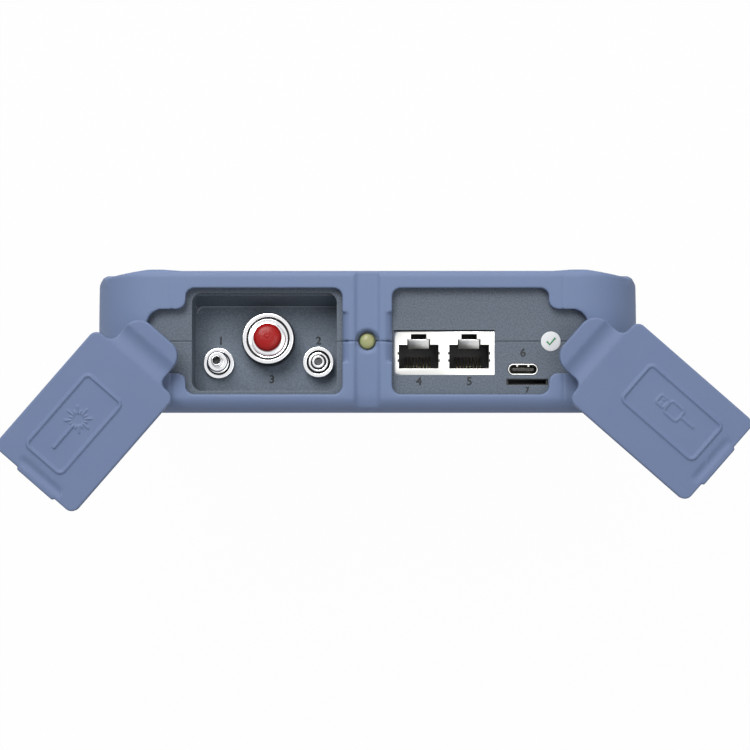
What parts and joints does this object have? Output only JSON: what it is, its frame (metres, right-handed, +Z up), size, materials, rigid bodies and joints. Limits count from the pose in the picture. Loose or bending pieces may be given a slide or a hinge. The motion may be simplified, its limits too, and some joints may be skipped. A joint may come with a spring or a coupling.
{
  "type": "optical time domain reflectometer",
  "caption": "Handheld fibre test set: rubber-cased block with screen and keys, and at its end two swivelling rubber flaps over optical ports and data sockets.",
  "frame": {"origin": "centre of the flat base that the tester stands on, on the parting plane between its two halves", "axes": "+X across the width, to the side with the data sockets; +Y towards the back with the stand; +Z up to the connector end"},
  "size_m": [0.224, 0.0725, 0.1199],
  "materials": {
    "blue_rubber": "soft matt",
    "grey_plastic": "fine spark texture",
    "tray_plastic": "fine spark texture",
    "nickel": "turned",
    "ceramic": "polished",
    "chrome": "polished",
    "black_metal": "black anodised",
    "red_rubber": "satin",
    "tin_steel": "tin plated",
    "black_plastic": "matt",
    "gold": "gold plated",
    "led_lens": "clear over yellow phosphor",
    "circuit_board": "solder mask",
    "screw_steel": "zinc",
    "module_aluminium": "anodised",
    "white_plastic": "matt",
    "battery_wrap": "shrink wrap",
    "screen_glass": "clear, hard coat",
    "black_foam": "foam",
    "display": "dark display",
    "switch_metal": "stamped",
    "stand_plastic": "fine texture",
    "door_plastic": "fine texture",
    "label_white": "paper label",
    "key_rubber": "silicone"
  },
  "bodies": {
    "housing": {"front_bumper": "blue_rubber", "rear_bumper": "blue_rubber", "front_shell": "grey_plastic", "rear_shell": "grey_plastic", "port_tray": "tray_plastic", "otdr_boss": "nickel", "otdr_ferrule": "ceramic", "vfl_port": "chrome", "vfl_sleeve": "chrome", "opm_port": "chrome", "opm_sleeve": "chrome", "rj45_shield": "tin_steel", "rj45_insert": "black_plastic", "rj45_contacts": "gold", "rj45_springs": "tin_steel", "usb_c_shell": "tin_steel", "usb_c_tongue": "black_plastic", "card_socket": "black_plastic", "torch_led": "led_lens", "torch_board": "circuit_board", "main_board": "circuit_board", "board_chips": "black_plastic", "board_screws": "screw_steel", "optical_module": "module_aluminium", "fibre_spool": "white_plastic", "battery_pack": "battery_wrap", "screen_glass": "screen_glass", "screen_gasket": "black_foam", "lcd_module": "display", "key_board": "circuit_board", "key_switches": "switch_metal", "kickstand_pins": "screw_steel", "battery_door": "door_plastic", "door_screws": "screw_steel", "case_screws": "screw_steel", "seal_label": "label_white"},
    "left_stem": {"left_flap_stem": "blue_rubber"},
    "left_tab": {"left_flap_tab": "blue_rubber"},
    "left_cover": {"left_flap_cover": "blue_rubber"},
    "right_stem": {"right_flap_stem": "blue_rubber"},
    "right_tab": {"right_flap_tab": "blue_rubber"},
    "right_cover": {"right_flap_cover": "blue_rubber"},
    "adapter": {"otdr_adapter": "chrome"},
    "lock_ring": {"otdr_lock_ring": "black_metal"},
    "dust_cap": {"otdr_dust_cap": "red_rubber"},
    "stand": {"kickstand": "stand_plastic"},
    "key_back": {"key_back": "key_rubber"},
    "key_down": {"key_down": "key_rubber"},
    "key_ok": {"key_ok": "key_rubber"},
    "key_up": {"key_up": "key_rubber"},
    "key_light": {"key_light": "key_rubber"},
    "key_power": {"key_power": "key_rubber"}
  },
  "joints": [
    {"name": "left_flap_pull", "type": "slide", "parent": "housing", "child": "left_stem", "axis": [0, 0, 1], "range_m": [0, 0.003]},
    {"name": "left_flap_swivel", "type": "hinge", "parent": "left_stem", "child": "left_tab", "pos_m": [-0.0632, 0, 0.11535], "axis": [0, 0, -1], "range_deg": [-131, 0]},
    {"name": "left_flap_bend", "type": "hinge", "parent": "left_tab", "child": "left_cover", "pos_m": [-0.06648, -0.00377, 0.11595], "axis": [-0.7547, 0.6561, 0], "range_deg": [0, 80]},
    {"name": "right_flap_pull", "type": "slide", "parent": "housing", "child": "right_stem", "axis": [0, 0, 1], "range_m": [0, 0.003]},
    {"name": "right_flap_swivel", "type": "hinge", "parent": "right_stem", "child": "right_tab", "pos_m": [0.0632, 0, 0.11685], "axis": [0, 0, 1], "range_deg": [-138.8, 0]},
    {"name": "right_flap_bend", "type": "hinge", "parent": "right_tab", "child": "right_cover", "pos_m": [0.06696, -0.00329, 0.11745], "axis": [-0.6587, -0.7524, 0], "range_deg": [0, 80]},
    {"name": "adapter_lift", "type": "slide", "parent": "housing", "child": "adapter", "axis": [0, 0.0872, 0.9962], "range_m": [0, 0.00225]},
    {"name": "lock_ring_spin", "type": "hinge", "parent": "adapter", "child": "lock_ring", "pos_m": [-0.0303, 0.00076, 0.09999], "axis": [0, 0.0872, 0.9962], "range_deg": [0, 1080]},
    {"name": "dust_cap_pull", "type": "slide", "parent": "adapter", "child": "dust_cap", "axis": [0, 0.0872, 0.9962], "range_m": [0, 0.025]},
    {"name": "key_back_press", "type": "slide", "parent": "housing", "child": "key_back", "axis": [0, 1, 0], "range_m": [0, 0.0008], "stiffness_N_per_m": 250},
    {"name": "key_down_press", "type": "slide", "parent": "housing", "child": "key_down", "axis": [0, 1, 0], "range_m": [0, 0.0008], "stiffness_N_per_m": 250},
    {"name": "key_ok_press", "type": "slide", "parent": "housing", "child": "key_ok", "axis": [0, 1, 0], "range_m": [0, 0.0008], "stiffness_N_per_m": 250},
    {"name": "key_up_press", "type": "slide", "parent": "housing", "child": "key_up", "axis": [0, 1, 0], "range_m": [0, 0.0008], "stiffness_N_per_m": 250},
    {"name": "key_light_press", "type": "slide", "parent": "housing", "child": "key_light", "axis": [0, 1, 0], "range_m": [0, 0.0008], "stiffness_N_per_m": 250},
    {"name": "key_power_press", "type": "slide", "parent": "housing", "child": "key_power", "axis": [0, 1, 0], "range_m": [0, 0.0008], "stiffness_N_per_m": 250},
    {"name": "kickstand_swing", "type": "hinge", "parent": "housing", "child": "stand", "pos_m": [0, 0.0182, 0.0745], "axis": [1, 0, 0], "range_deg": [0, 55]}
  ],
  "couplings": [
    {"joint": "lock_ring_spin", "follows": "adapter_lift", "rad_per_m": 8377.6}
  ]
}
